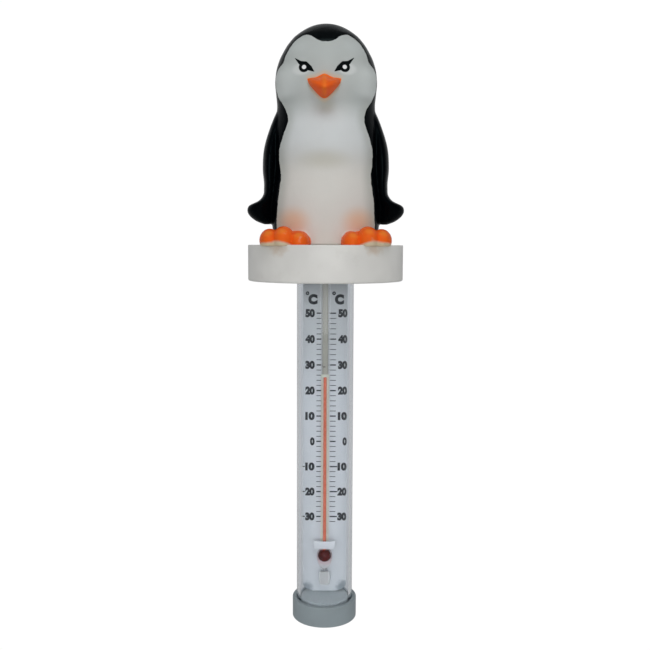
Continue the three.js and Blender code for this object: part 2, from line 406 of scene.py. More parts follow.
FIGURE_HEIGHT = 74.65
BODY_OUTLINE = [      # height, half width: the body and head without flippers
    (0, 17.5), (5, 18.4), (10, 18.8), (15, 19.0), (21, 18.7), (26, 18.2), (33, 18.3), (39, 17.9),
    (44, 17.1), (47.2, 16.8), (51, 17.15), (55.3, 17.5), (58.3, 17.2), (61.1, 16.5),
    (63.4, 15.6), (64.6, 14.95), (65.8, 14.3), (67.1, 13.5), (68.4, 12.5), (69.7, 11.4),
    (71, 9.85), (72.4, 7.8), (73.65, 5.3), (74.65, 0),
]
DEPTH_RATIOS = [      # height, then depth to the front and to the back over the half width
    (0, 0.96, 0.95), (6, 0.975, 0.96), (14, 0.98, 0.955), (24.5, 0.945, 0.94),
    (36, 0.965, 0.93), (45.5, 0.92, 0.90),
    (50, 0.95, 0.93), (57, 0.955, 0.96), (66, 0.96, 0.97), (74.65, 0.96, 0.96),
]
WHITE_EDGE = [        # height, half width of the white front
    (0, 16.6), (5.7, 16.6), (10.1, 16.4), (15.1, 16.0), (18.5, 15.5), (22.5, 15.0), (28.3, 15.6),
    (31.6, 15.5), (34.4, 14.8), (36.5, 14.1), (38.6, 13.2), (41.4, 12.6), (44, 13.1), (46, 14.1),
    (48.5, 15.5), (51.2, 16.6), (53.9, 17.0), (56.4, 17.0), (58.4, 16.2), (59.2, 15.4),
    (60, 14.4), (62.4, 13.5), (64.7, 12.3), (67.1, 10.5), (69, 7.5), (71, 3),
]
HAIRLINE = [          # half width, height of the white face's top edge
    (0, 65.8), (1.5, 66.0), (3, 66.8), (4.5, 68.0), (6, 68.8), (7.5, 69.0), (9, 68.6), (20, 68.2),
]
FLIPPER = [           # height, inner x, outer x, half depth of the right flipper
    (46.6, 13.4, 16.4, 2.2), (44.5, 13.8, 17.4, 4.4), (39.5, 14.8, 19.4, 6.6),
    (33, 15.8, 21.3, 8.0), (26, 16.4, 21.8, 8.6), (19.5, 16.8, 21.4, 8.1), (16.8, 17, 21.8, 7.6),
    (15, 17, 23.5, 7.1), (13.6, 17, 26.5, 6.6), (12.3, 17, 27.25, 6.1), (10.6, 17.2, 26.9, 5.2),
    (9, 17.5, 25.4, 4.2), (7.8, 18.2, 23.4, 3.1), (7.1, 19.4, 21.4, 1.4),
]
TOES = [              # centre x, front y, half width, top height, bottom height
    (8.6, -25.0, 3.4, 4.55, -2.6), (13.7, -25.4, 3.75, 6.1, -2.6), (18.3, -23.4, 3.5, 5.3, -2.4),
]
TOE_LENGTH = 13.0
SOLE = -0.4
INSTEP = ((13.2, -15.5, 0.8), (7.4, 7.0, 3.6))     # centre, half sizes
FACE_FORMS = [        # raised by, x off the middle on both sides, x width, height, height width
    (0.9, 9.5, 4.8, 51.0, 5.0),      # cheeks
    (-0.6, 6.2, 3.0, 57.6, 3.2),     # eye hollows
    (0.45, 0, 3.4, 57.5, 4.5),       # between the eyes
    (0.35, 0, 9.0, 64.0, 4.0),       # forehead
    (-1.1, 0, 4.2, 44.8, 2.6),       # throat
    (0.35, 0, 7.0, 69.5, 3.0),       # forelock
    (-0.15, 0, 12.0, 27.0, 3.0),     # crease across the belly
]
HOOD_RISE = 0.28      # how far the black hood stands above the white front
FIGURE_WALL = 1.8
FIGURE_LIFT = 0.02    # clearance between the figure and the disc
BEAK_CENTRE = 51.0
BEAK_OUTLINE = [      # angle from straight up, radius about the beak's centre, right half
    (0, 3.8), (24, 3.45), (45, 3.8), (58, 4.8), (66, 5.4), (76, 5.1), (86, 4.65), (97, 4.05),
    (111, 3.48), (133, 3.02), (158, 2.98), (180, 3.05),
]
BEAK_ROOT, BEAK_TIP = -14.0, -23.4
FACE_X = -0.6         # the beak and the painted eyes sit a little off the figure's middle


def is_white(x, h):
    """Soft mask of the white front, for raising the black hood a little above it."""
    half, = spline(WHITE_EDGE, h)
    top, = spline(HAIRLINE, np.abs(x))
    edge = np.minimum(half - np.abs(x), top - h)
    return 1 / (1 + np.exp(-edge / 0.35))


def half_width(h):
    """Half width of body and head. Squares are interpolated, so that the crown comes out round."""
    square, = spline([(at, half * half) for at, half in BODY_OUTLINE], h)
    return float(np.sqrt(max(square, 0.0)))


def body_skin(inset=0.0):
    """Body and head as rings from base to crown. With an inset it is the plain inner space."""
    turn = np.linspace(0, 2 * np.pi, 200, endpoint=False)
    heights = FIGURE_HEIGHT * np.sin(np.linspace(0, 0.997, 200) * np.pi / 2)
    rings = []
    for h in heights:
        front, back = spline(DEPTH_RATIOS, h)
        half = max(half_width(h) - inset, 0.05)
        x = half * np.sin(turn)
        depth = np.where(np.cos(turn) > 0, front, back) * half
        y = -depth * np.cos(turn)
        facing = np.clip(np.cos(turn), 0, 1)
        if not inset:
            swell = 0
            for rise, off, wide, at, tall in FACE_FORMS:
                across = bell(x, off, wide) + (bell(x, -off, wide) if off else 0)
                swell = swell + rise * across * bell(h, at, tall)
            hood = HOOD_RISE * (1 - is_white(x, h) * (facing > 0.02))
            y = y - swell * facing ** 0.7
            grow = 1 + (hood - HOOD_RISE) / max(half, 4.0)
            x, y = x * grow, y * grow
        rings.append([(a, b, max(h - inset, 0.0)) for a, b in zip(x, y)])
    if inset:
        first = [(a, b, -1.0) for a, b, _ in rings[0]]
        rings.insert(0, first)
    return loft(rings)


def flipper_skin(side):
    """One flipper, from its tip up to its shoulder; side is 1 for the right and -1 for the left."""
    heights = np.linspace(FLIPPER[-1][0], FLIPPER[0][0], 110)
    turn = np.linspace(0, 2 * np.pi, 72, endpoint=False)
    rings = []
    for h in heights:
        inner, outer, half = spline(FLIPPER, h)
        x = (inner + outer) / 2 + (outer - inner) / 2 * np.cos(turn)
        y = half * np.sin(turn)
        rings.append([(side * a, b, h) for a, b in zip(x, y)])
    verts, faces = loft(rings)
    return verts, faces if side > 0 else [face[::-1] for face in faces]


def ball_skin(centre, halves):
    """A toe or instep: an ellipsoid that is flat under the sole."""
    turn = np.linspace(0, 2 * np.pi, 48, endpoint=False)
    rings = []
    for tilt in np.linspace(-0.97, 0.97, 28) * np.pi / 2:
        rings.append([(centre[0] + halves[0] * math.cos(tilt) * math.cos(t),
                       centre[1] + halves[1] * math.cos(tilt) * math.sin(t),
                       max(centre[2] + halves[2] * math.sin(tilt), SOLE + 0.05 * math.sin(tilt)))
                      for t in turn])
    return loft(rings)


def toe_balls():
    """Centre and half sizes of the right foot's toes and instep."""
    toes = [((x, front + TOE_LENGTH / 2, (top + low) / 2), (half, TOE_LENGTH / 2, (top - low) / 2))
            for x, front, half, top, low in TOES]
    return toes + [INSTEP]


def beak_skin():
    """Lofted from its root inside the face to a rounded tip that dips a little."""
    turn = np.linspace(0, 2 * np.pi, 96, endpoint=False)
    angle = np.degrees(np.minimum(turn, 2 * np.pi - turn))
    radius, = spline(BEAK_OUTLINE, angle)
    rings = []
    for t in np.linspace(0, 1, 40):
        along = math.sin(t * math.pi / 2)
        y = BEAK_ROOT + (BEAK_TIP - BEAK_ROOT) * along
        size = 1.09 * max(1 - along ** 1.8, 0.0) ** 0.75 + 0.01
        drop = -1.2 * (1.1 - size)
        rings.append([(FACE_X + size * r * math.sin(a), y,
                       BEAK_CENTRE + drop + size * r * math.cos(a))
                      for r, a in zip(radius, turn)])
    return loft(rings)


def make_figure():
    """One shell: the parts' skins fused, softened, cut flat on the disc and hollowed."""
    parts = [body_skin(), flipper_skin(-1), flipper_skin(1), beak_skin()]
    parts += [ball_skin((side * x, y, z), halves)
              for side in (-1, 1) for (x, y, z), halves in toe_balls()]
    verts, faces = joined(parts)
    verts = np.array(verts) + (0, 0, DISC_TOP)
    figure = mesh_object("penguin_figure", verts, faces)
    skin = figure.modifiers.new("skin", "REMESH")
    skin.mode = "VOXEL"
    skin.voxel_size = 0.36 * MM
    soften = figure.modifiers.new("soften", "SMOOTH")
    soften.factor = 0.5
    soften.iterations = 5
    apply_modifiers(figure)
    sole_z = DISC_TOP + FIGURE_LIFT
    disc_space = turned("disc_space", [(0, DISC_BASE), (DISC_R + 0.1, DISC_BASE),
                                       (DISC_R + 0.1, sole_z), (0, sole_z)], 256)
    cut_away(figure, disc_space)
    verts, faces = body_skin(inset=FIGURE_WALL)
    hollow = mesh_object("hollow", np.array(verts) + (0, 0, DISC_TOP), faces)
    cut_away(figure, hollow)
    return figure


# -------- figure: paint

BLACK_PAINT = (0.0016, 0.0022, 0.0027)
BLACK_DUST, BLACK_SHADED = (0.009, 0.012, 0.014), (0.0006, 0.001, 0.0018)
ORANGE_PAINT = (1.0, 0.116, 0.003)
ORANGE_SHADED, ORANGE_RIDGE_LIT = (1.0, 0.062, 0.003), (1.0, 0.24, 0.02)
ORANGE_GROOVE_SHADE, ORANGE_HIGHLIGHT, ORANGE_THIN = (0.78, 0.05, 0.002), (1.0, 0.32, 0.04), (0.85, 0.24, 0.06)
FACE_GREY_SHADED_VINYL, BELLY_VINYL = (0.51, 0.54, 0.525), (0.725, 0.70, 0.655)
CHEST_LIT_VINYL = (0.74, 0.765, 0.77)
CHEEK_LIT_VINYL, TEMPLE_LIT_VINYL, AGED_VINYL = (0.75, 0.79, 0.77), (0.60, 0.645, 0.635), (0.55, 0.55, 0.51)
CREASE_SHADE_GRIME_VINYL, SIDE_SHADE_VINYL, CHIN_SHADOW_SPRAY_VINYL = (0.50, 0.47, 0.365), (0.38, 0.40, 0.36), (0.36, 0.33, 0.20)
EYE_WHITE, PUPIL_WHITE = (0.84, 0.85, 0.84), (0.84, 0.85, 0.85)
BLUSH, SOLE_CREAM, OVERSPRAY = (0.80, 0.37, 0.10), (0.86, 0.62, 0.33), (0.84, 0.48, 0.18)
BEAK_TOP_EDGE = [     # x from the face's middle, height
    (0, 55.05), (0.8, 54.85), (1.6, 54.45), (3, 53.95), (4.6, 53.8), (5.5, 53.6), (9, 51),
]
BEAK_LOW_EDGE = [
    (0, 47.5), (0.9, 47.75), (2.1, 48.6), (3.2, 49.6), (4.0, 50.45), (4.8, 51.5), (5.3, 52.6),
    (5.6, 54), (9, 58),
]
BARE_SOLE = [         # x, height up to which the toes' undersides were left unpainted
    (0, -1), (9, -1), (11.5, 0.2), (13.4, 0.9), (15.6, 1.3), (18, 0.9), (21, 0.6), (25, 0.5),
]
HEIGHT_SPAN, HALF_SPAN, FACE_SPAN, SOLE_SPAN = 80, 20, 10, 25      # full scales of the curves
EYE_LID = [           # x, height, half thickness of the drawn lid's stroke
    (3.4, 55.95, 0.14), (4.8, 57.1, 0.85), (6.3, 58.4, 1.05), (7.9, 59.1, 0.6), (9.6, 60.8, 0.1),
]
EYE_CENTRE = (6.62, 57.6)
EYE_R, PUPIL_R = 1.72, 0.7


def figure_paint():
    """Vinyl front, black hood and flippers, orange beak and feet, drawn eyes."""
    s = Shader("figure_vinyl_and_paint")
    local = s.vector("SCALE", s.vector("SUBTRACT", s.place, (0, 0, DISC_TOP * MM)))
    local.node.inputs["Scale"].default_value = 1 / MM
    x, y, h = s.split(local)
    ax = s.maths("ABSOLUTE", x)
    face_ax = s.maths("ABSOLUTE", s.maths("SUBTRACT", x, FACE_X))
    wander = s.ramp(s.noise(330, 2.0), 0.2, 0.8, -0.22, 0.22, smooth=False)

    def less(a, b, soft=0.12):
        """1 where a is below b, with a soft edge."""
        return s.ramp(s.maths("SUBTRACT", b, a), -soft, soft)

    def nearest(distances):
        total = distances[0]
        for distance in distances[1:]:
            total = s.maths("MINIMUM", total, distance)
        return total

    # white front
    side_edge = s.maths("ADD", s.curve(h, WHITE_EDGE, HEIGHT_SPAN, HALF_SPAN), wander)
    top_edge = s.maths("ADD", s.curve(ax, HAIRLINE, HALF_SPAN, HEIGHT_SPAN), wander)
    front = s.maths("MULTIPLY", less(h, top_edge), less(y, -1.5))
    white = s.maths("MULTIPLY", less(ax, side_edge), front)

    # orange feet: inside the toes' own balls, and not on the rim that overhangs the disc
    near = []
    for centre, halves in toe_balls():
        grown = tuple(half + 0.28 for half in halves)
        away = s.vector("DIVIDE", s.vector("SUBTRACT", s.combine(ax, y, h), centre), grown)
        near.append(s.maths("MULTIPLY", s.maths("SUBTRACT", s.vector("LENGTH", away), 1.0), 3.5))
    toes = near[0]
    for ball in near[1:]:
        smooth = s.maths("SMOOTH_MIN", toes, ball)
        smooth.node.inputs[2].default_value = 1.6
        toes = smooth
    foot = s.maths("MULTIPLY", less(s.maths("ADD", toes, wander), 0.0, 0.15), less(h, 7.5))
    bare = s.curve(ax, BARE_SOLE, SOLE_SPAN, FACE_SPAN)
    feet = s.maths("MULTIPLY", foot, less(s.maths("ADD", bare, wander), h, 0.55))
    white = s.maths("MAXIMUM", white, foot)

    # orange beak: its outline seen from the front
    upper = s.curve(face_ax, BEAK_TOP_EDGE, FACE_SPAN, HEIGHT_SPAN)
    lower = s.curve(face_ax, BEAK_LOW_EDGE, FACE_SPAN, HEIGHT_SPAN)
    beak = s.maths("MULTIPLY", less(h, upper), less(lower, h))
    beak = s.maths("MULTIPLY", beak, less(y, -13.0))
    overspray = s.maths("MULTIPLY", less(h, s.maths("ADD", upper, 0.8), 0.9),
                        less(s.maths("SUBTRACT", lower, 0.8), h, 0.9))
    overspray = s.maths("MULTIPLY", overspray, less(y, -10.0))

    # drawn eyes: distances from the lid's strokes and from the eyeball
    strokes = []
    for (x0, h0, r0), (x1, h1, r1) in zip(EYE_LID, EYE_LID[1:]):
        length = math.hypot(x1 - x0, h1 - h0)
        ux, uh = (x1 - x0) / length, (h1 - h0) / length
        dx, dh = s.maths("SUBTRACT", face_ax, x0), s.maths("SUBTRACT", h, h0)
        along = s.maths("ADD", s.maths("MULTIPLY", dx, ux), s.maths("MULTIPLY", dh, uh))
        held = s.maths("MINIMUM", s.maths("MAXIMUM", along, 0.0), length)
        off = s.maths("SUBTRACT", s.maths("MULTIPLY", dx, uh), s.maths("MULTIPLY", dh, ux))
        past = s.maths("SUBTRACT", along, held)
        distance = s.vector("LENGTH", s.combine(off, past, 0.0))
        thickness = s.maths("MULTIPLY_ADD", held, (r1 - r0) / length, r0)
        strokes.append(s.maths("SUBTRACT", distance, thickness))
    from_eye = s.vector("LENGTH", s.combine(s.maths("SUBTRACT", face_ax, EYE_CENTRE[0]),
                                            s.maths("SUBTRACT", h, EYE_CENTRE[1]), 0.0))
    strokes.append(s.maths("SUBTRACT", from_eye, EYE_R))
    on_face = less(y, -8.0)
    ink = s.maths("MULTIPLY", less(nearest(strokes), 0.0, 0.09), on_face)
    pupil = s.maths("MULTIPLY", less(from_eye, PUPIL_R, 0.09), on_face)
    patch = s.oval(face_ax, h, (7.5, 57.0), (2.9, 1.9))
    eye_white = s.maths("MULTIPLY", less(patch, 1.0, 0.3), on_face)

    # vinyl colour: cooler grey face that is partly painted shade, warmer belly, painted light on
    # the chest, cheeks and temples, painted shade at the sides, in the belly's crease and under the
    # beak, aged drift and soft overspray
    drift = s.ramp(s.noise(55, 3.0), 0.3, 0.7)
    # the face's darker, cooler grey is partly grey paint and partly painted shade on the head
    vinyl = s.mix(s.ramp(h, 44.0, 20.0), FACE_GREY_SHADED_VINYL, BELLY_VINYL)
    chest = s.maths("MULTIPLY", s.ramp(h, 24.0, 35.0), s.ramp(h, 48.0, 39.0))
    # painted light on the chest, which bulges up under the neck
    vinyl = s.tint(vinyl, chest, 0.8, CHEST_LIT_VINYL)
    cheek = s.maths("MULTIPLY", s.ramp(h, 47.5, 50.5), s.ramp(h, 61.0, 56.0))
    # painted light on the cheeks, growing towards their outer sides
    vinyl = s.tint(vinyl, cheek, s.ramp(ax, 7.0, 14.5, 0.0, 0.8), CHEEK_LIT_VINYL)
    temple = s.oval(ax, h, (9.5, 65.0), (5.5, 4.0))
    # painted light at the temples
    vinyl = s.tint(vinyl, s.ramp(temple, 1.0, 0.1), 0.5, TEMPLE_LIT_VINYL)
    vinyl = s.tint(vinyl, drift, 0.12, AGED_VINYL)
    # painted shade in the crease across the belly, with a yellowish grime tint
    crease = s.oval(x, h, (-0.5, 27.8), (11.0, 4.2))
    vinyl = s.tint(vinyl, s.ramp(crease, 1.1, 0.1), 0.42, CREASE_SHADE_GRIME_VINYL)
    # painted shade where the front rounds away at its sides: strong on the belly, faint on the head
    side_shade = s.ramp(s.maths("DIVIDE", ax, side_edge), 0.72, 1.0)
    vinyl = s.tint(vinyl, side_shade, s.ramp(h, 44.0, 50.0, 0.5, 0.04), SIDE_SHADE_VINYL)
    blush = s.oval(ax, h, (11.0, 7.8), (7.6, 6.2))
    vinyl = s.tint(vinyl, s.ramp(blush, 1.0, 0.1), 0.44, BLUSH)
    # painted shadow under the beak, with an orange-brown overspray tint
    chin = s.oval(x, h, (0.0, 45.6), (4.4, 4.2))
    vinyl = s.tint(vinyl, s.ramp(chin, 1.0, 0.1), 0.3, CHIN_SHADOW_SPRAY_VINYL)
    vinyl = s.tint(vinyl, eye_white, 0.36, EYE_WHITE)
    vinyl = s.tint(vinyl, foot, 0.55, SOLE_CREAM)
    vinyl = s.tint(vinyl, overspray, 0.42, OVERSPRAY)

    # orange: painted shade makes it redder low on the beak and between the toes, painted highlights
    # make it lighter on the ridge and the toes' tops
    orange = s.mix(s.ramp(s.noise(240, 3.0), 0.35, 0.7), shade(ORANGE_PAINT, 0.92), ORANGE_PAINT)
    # painted shade on the beak's lower part, which faces down
    beak_shade = s.maths("MULTIPLY", s.ramp(h, 52.6, 48.6), s.ramp(h, 40.0, 42.0))
    orange = s.tint(orange, beak_shade, 0.6, ORANGE_SHADED)
    # painted highlight along the beak's middle ridge
    ridge = s.maths("MULTIPLY", less(face_ax, 0.7, 0.6), less(48.0, h, 0.6))
    orange = s.tint(orange, ridge, 0.5, ORANGE_RIDGE_LIT)
    # painted shade in the grooves between the toes
    groove = s.ramp(s.maths("SUBTRACT", toes, nearest(near)), 0.0, -0.4)
    groove = s.maths("MULTIPLY", groove, less(h, 10.0))
    orange = s.tint(orange, groove, 0.6, ORANGE_GROOVE_SHADE)
    # painted highlights on the toes' upper fronts
    for centre, halves in toe_balls()[:len(TOES)]:
        crown = s.vector("DISTANCE", s.combine(ax, y, h), (
            centre[0] + 0.3, centre[1] - halves[1] * 0.75, centre[2] + halves[2] * 0.62))
        orange = s.mix(s.ramp(crown, 2.2, 0.2, 0.0, 0.6), orange, ORANGE_HIGHLIGHT)
    rim = s.ramp(toes, -0.1, -0.6)
    orange = s.tint(orange, s.maths("SUBTRACT", 1.0, rim), 0.25, ORANGE_THIN)

    black = s.mix(s.ramp(s.noise(420, 5.0, 0.7), 0.55, 0.8), BLACK_PAINT, BLACK_DUST)
    # painted shade: the black is made darker on the lower body and flippers
    black = s.mix(s.ramp(h, 62.0, 34.0, 0.0, 0.8), black, BLACK_SHADED)
    colour = s.mix(white, black, vinyl)
    colour = s.mix(ink, colour, BLACK_PAINT)
    colour = s.mix(pupil, colour, PUPIL_WHITE)
    painted_orange = s.maths("MAXIMUM", feet, beak)
    colour = s.mix(painted_orange, colour, orange)

    # black paint is glossier than the bare vinyl, and all of it is a little uneven
    bare_share = s.maths("MULTIPLY", white, s.maths("SUBTRACT", 1.0, painted_orange))
    gloss = s.ramp(bare_share, 0.0, 1.0, 0.2, 0.46, smooth=False)
    uneven = s.ramp(s.noise(600, 4.0), 0.25, 0.75, -0.05, 0.06, smooth=False)
    roughness = s.maths("ADD", gloss, uneven)
    paint_edge = s.bump(s.maths("SUBTRACT", 1.0, bare_share), 0.03)
    grain = s.maths("MULTIPLY", s.noise(3800, 2.0), s.ramp(bare_share, 0.0, 1.0, 0.15, 1.0))
    pores = s.bump(grain, 0.012, after=paint_edge)
    waves = s.bump(s.noise(190, 2.0), 0.12, after=pores)
    s.links.new(s.ramp(h, 62.0, 34.0, 0.075, 0.03), s.bsdf.inputs["Specular IOR Level"])
    s.bsdf.inputs["Specular Tint"].default_value = (0.65, 1.0, 1.0, 1)
    return s.finish(colour, roughness, waves)


attach(make_figure(), figure_paint(), "root", "penguin_shell")


# -------- float disc

FLOAT_WHITE = (0.79, 0.775, 0.735)
HAZE_AND_SHADOW = (0.56, 0.39, 0.25)
DISC_ROOF = 1.5       # thickness of the disc's top wall


def smudge_under_toes(s, colour):
    """Paint haze from the feet and painted shadow of the overhanging toes, on the disc's edge under
    the outer toes.
    """
    x, y, z = s.place_mm()
    spot = s.oval(s.maths("ABSOLUTE", x), z, (15.6, DISC_TOP - 1.2), (4.2, 3.0))
    ragged = s.maths("ADD", spot, s.ramp(s.noise(380, 4.0), 0.2, 0.8, -0.25, 0.25))
    return s.tint(colour, s.ramp(ragged, 1.0, 0.1), s.ramp(y, -8.0, -12.0, 0.0, 0.5), HAZE_AND_SHADOW)


float_plastic = moulded("float_plastic", FLOAT_WHITE, dirt_share=0.09, grain=0.01,
                        over=smudge_under_toes)
disc_inner = cover_high[0] + FIT
cover_inner = TUBE_R + FIT
disc_shell = turned("float_upper_shell", rounded(
    [(0, DISC_TOP - DISC_ROOF), (disc_inner, DISC_TOP - DISC_ROOF), (disc_inner, DISC_BASE),
     (DISC_R, DISC_BASE), (DISC_R, DISC_TOP), (0, DISC_TOP)],
    [0, 0.3, 0.1, 1.6, 0.4, 0], closed=False), 256)
disc_cover = turned("float_lower_cover", rounded(
    [(cover_inner, cover_low[2]), (cover_high[0], cover_low[2]),
     (cover_high[0], cover_high[2]), (cover_inner, cover_high[2])],
    [0.25, 0.15, 0.1, 0.1], closed=True), 256)
for piece, node in ((disc_shell, "float_disc_shell"), (disc_cover, "float_disc_cover")):
    attach(piece, float_plastic, "root", node)


# -------- clear materials

def lets_light_through(s, tint):
    """Lamps shine through this clear surface, so what is behind it is lit."""
    path = s.nodes.new("ShaderNodeLightPath")
    open_way = s.nodes.new("ShaderNodeBsdfTransparent")
    open_way.inputs["Color"].default_value = (*tint, 1)
    mixed = s.nodes.new("ShaderNodeMixShader")
    s.links.new(path.outputs["Is Shadow Ray"], mixed.inputs[0])
    s.links.new(s.bsdf.outputs[0], mixed.inputs[1])
    s.links.new(open_way.outputs[0], mixed.inputs[2])
    s.links.new(mixed.outputs[0], s.output.inputs["Surface"])


def clear(name, tint, ior, rough=(0.01, 0.05), haze=0.0, glint=1.0, red_glow=None):
    """Clear plastic or glass, with an optional colour round the spirit bulb: a painted glow of the
    red spirit's light in the glass.
    """
    s = Shader(name)
    s.bsdf.inputs["Specular Tint"].default_value = (glint, glint, glint, 1)
    s.bsdf.inputs["Transmission Weight"].default_value = 1.0
    s.bsdf.inputs["IOR"].default_value = ior
    smears = s.ramp(s.noise(120, 4.0, 0.6, stretch=(1, 1, 0.35)), 0.35, 0.8, *rough)
    tone = s.mix(s.ramp(s.noise(90, 2.0), 0.3, 0.7), tint, shade(tint, 0.985))
    # painted red glow of the spirit's light in the glass round the bulb
    if red_glow:
        from_bulb = s.vector("DISTANCE", s.place, (0, STEM_Y * MM, BULB_Z * MM))
        tone = s.mix(s.ramp(from_bulb, 0.0042, 0.0028), tone, red_glow)
    waves = s.bump(s.noise(60, 1.0, stretch=(1, 1, 0.15)), 0.0006)
    material = s.finish(tone, smears, waves)
    lets_light_through(s, shade(tint, 1.0 - haze))
    return material


tube_clear = clear("clear_tube_plastic", (0.95, 0.972, 1.0), 1.47, haze=0.05, glint=0.4)
stem_glass = clear("stem_glass", (0.985, 0.98, 0.97), 1.36, rough=(0.0, 0.02), haze=0.02,
                   glint=0.15, red_glow=(0.97, 0.74, 0.75))


# -------- tube, cap and ballast

tube = turned("clear_tube_wall", rounded(
    [(TUBE_BORE_R, tube_low[2]), (TUBE_R, tube_low[2]),
     (TUBE_R, tube_high[2]), (TUBE_BORE_R, tube_high[2])], 0.15, closed=True, steps=3), 256)
attach(tube, tube_clear, "root", "clear_tube")

CAP_GREY = (0.295, 0.345, 0.365)
SEAL_BLACK = (0.03, 0.033, 0.036)
seal_bore = TUBE_BORE_R + FIT
cap_floor = seal_low[2]
cap_bore = TUBE_R + 0.12
cap = turned("push_on_cap", rounded(
    [(0, cap_low[2]), (cap_high[0], cap_low[2]), (cap_high[0], cap_high[2]),
     (cap_bore, cap_high[2]), (cap_bore, cap_floor), (0, cap_floor)],
    [0, 0.3, 0.4, 0.2, 0.2, 0], closed=False), 224)
cap_plastic = moulded("cap_plastic", CAP_GREY, rough=(0.42, 0.58), grain=0.014,
                      dirt=(1.25, 1.2, 1.15), dirt_share=0.3, specular=0.4)
seal = turned("cap_seal_ring", rounded(
    [(seal_bore, seal_low[2]), (TUBE_R, seal_low[2]),
     (TUBE_R, seal_high[2]), (seal_bore, seal_high[2])], 0.2, closed=True), 160)


def rubber(name):
    return moulded(name, SEAL_BLACK, rough=(0.6, 0.8), grain=0.03, dirt=(2.5, 2.5, 2.5),
                   specular=0.3)


def solid_disc(name, low, high, edges):
    """A round slug between its node's corners, with its lower and upper edge rounded."""
    return turned(name, rounded([(0, low[2]), (high[0], low[2]), (high[0], high[2]),
                                 (0, high[2])], [0, *edges, 0], closed=False), 160)


def turned_steel():
    s = Shader("ballast_steel")
    rings = s.noise(900, 3.0, stretch=(0.06, 0.06, 6.0))
    colour = s.mix(s.ramp(rings, 0.3, 0.7), (0.36, 0.365, 0.37), (0.5, 0.505, 0.51))
    s.bsdf.inputs["Metallic"].default_value = 1.0
    return s.finish(colour, s.ramp(rings, 0.3, 0.7, 0.25, 0.42), s.bump(rings, 0.02))


def foam():
    """Closed-cell foam: small cells with paler walls."""
    s = Shader("pad_foam")
    cells = s.nodes.new("ShaderNodeTexVoronoi")
    s.links.new(s.place, cells.inputs["Vector"])
    cells.inputs["Scale"].default_value = 1800
    edge = s.ramp(cells.outputs["Distance"], 0.1, 0.7)
    colour = s.mix(edge, (0.52, 0.56, 0.565), (0.43, 0.47, 0.475))
    return s.finish(colour, s.ramp(edge, 0, 1, 0.75, 0.95), s.bump(edge, 0.05))


ballast = solid_disc("ballast_slug", ballast_low, ballast_high, (0.3, 0.3))
pad = solid_disc("ballast_foam_pad", pad_low, pad_high, (0.2, 0.35))
for piece, material, node, slot in ((cap, cap_plastic, "end_cap", "cap_plastic"),
                                    (seal, rubber("seal_rubber"), "cap_seal", "seal_rubber"),
                                    (ballast, turned_steel(), "ballast_weight", "ballast_steel"),
                                    (pad, foam(), "ballast_pad", "pad_foam")):
    attach(piece, material, "cap", node)


# -------- scale card and its print

HIGHEST, LOWEST = 50, -32          # degrees, first and last mark
HIGHEST_Z = -17.87
DEGREE = 0.9265                    # height of one degree
PRINT_BACK = CARD_FRONT - 0.005
PRINT_LIFT = 0.03
CARD_WHITE, CARD_PALE = (0.71, 0.73, 0.745), (0.745, 0.765, 0.775)
CARD_TOP_SHADE, CARD_CORNER_SHADE, CARD_FIBRE = (0.64, 0.645, 0.625), (0.27, 0.31, 0.335), (0.5, 0.53, 0.56)


def mark(degrees):
    """Height of a mark on the scale."""
    return HIGHEST_Z - (HIGHEST - degrees) * DEGREE


def card_material():
    """Pale card with painted shade towards its top, under the disc, and painted shade in its lower
    corners.
    """
    s = Shader("card_plastic")
    drift = s.ramp(s.noise(60, 3.0), 0.3, 0.7)
    colour = s.mix(drift, CARD_WHITE, CARD_PALE)
    x, _, z = s.place_mm()
    # painted shade on the card's upper part, under the disc
    colour = s.mix(s.ramp(z, -55, -12, 0.0, 0.6), colour, CARD_TOP_SHADE)
    # painted shade in the card's lower corners
    corner = s.oval(s.maths("ABSOLUTE", x), z, (6.7, card_low[2] + 1.7), (1, 1))
    ragged = s.maths("ADD", corner, s.ramp(s.noise(700, 3.0), 0.2, 0.8, -0.7, 0.7))
    colour = s.mix(s.ramp(ragged, 2.9, 0.9, 0.0, 0.85), colour, CARD_CORNER_SHADE)
    fibre = s.noise(2600, 3.0, stretch=(1, 1, 0.3))
    colour = s.tint(colour, s.ramp(fibre, 0.45, 0.8), 0.08, CARD_FIBRE)
    return s.finish(colour, s.ramp(drift, 0, 1, 0.5, 0.62), s.bump(fibre, 0.008))


def mirrored(right_half):
    """Whole outline from its right half, which runs from the bottom to the top."""
    return right_half + [(-x, z) for x, z in right_half[::-1]]


card_half = card_high[0]
card = plate("scale_card_sheet", mirrored([
    (4.5, card_low[2]), (6.6, card_low[2] + 0.75), (7.8, card_low[2] + 1.8),
    (card_half, card_low[2] + 2.8), (card_half, card_high[2])]),
    card_low[1], card_high[1], bevel=0.08)
attach(card, card_material(), "root", "scale_card")


def ink_box(x0, x1, z0, z1):
    """A thin printed bar on the card."""
    corners = [(x, y, z) for y in (PRINT_BACK - PRINT_LIFT, PRINT_BACK)
               for z in (z0, z1) for x in (x0, x1)]
    faces = [(0, 1, 3, 2), (4, 6, 7, 5), (0, 4, 5, 1), (2, 3, 7, 6), (0, 2, 6, 4), (1, 5, 7, 3)]
    return corners, [list(f) for f in faces]


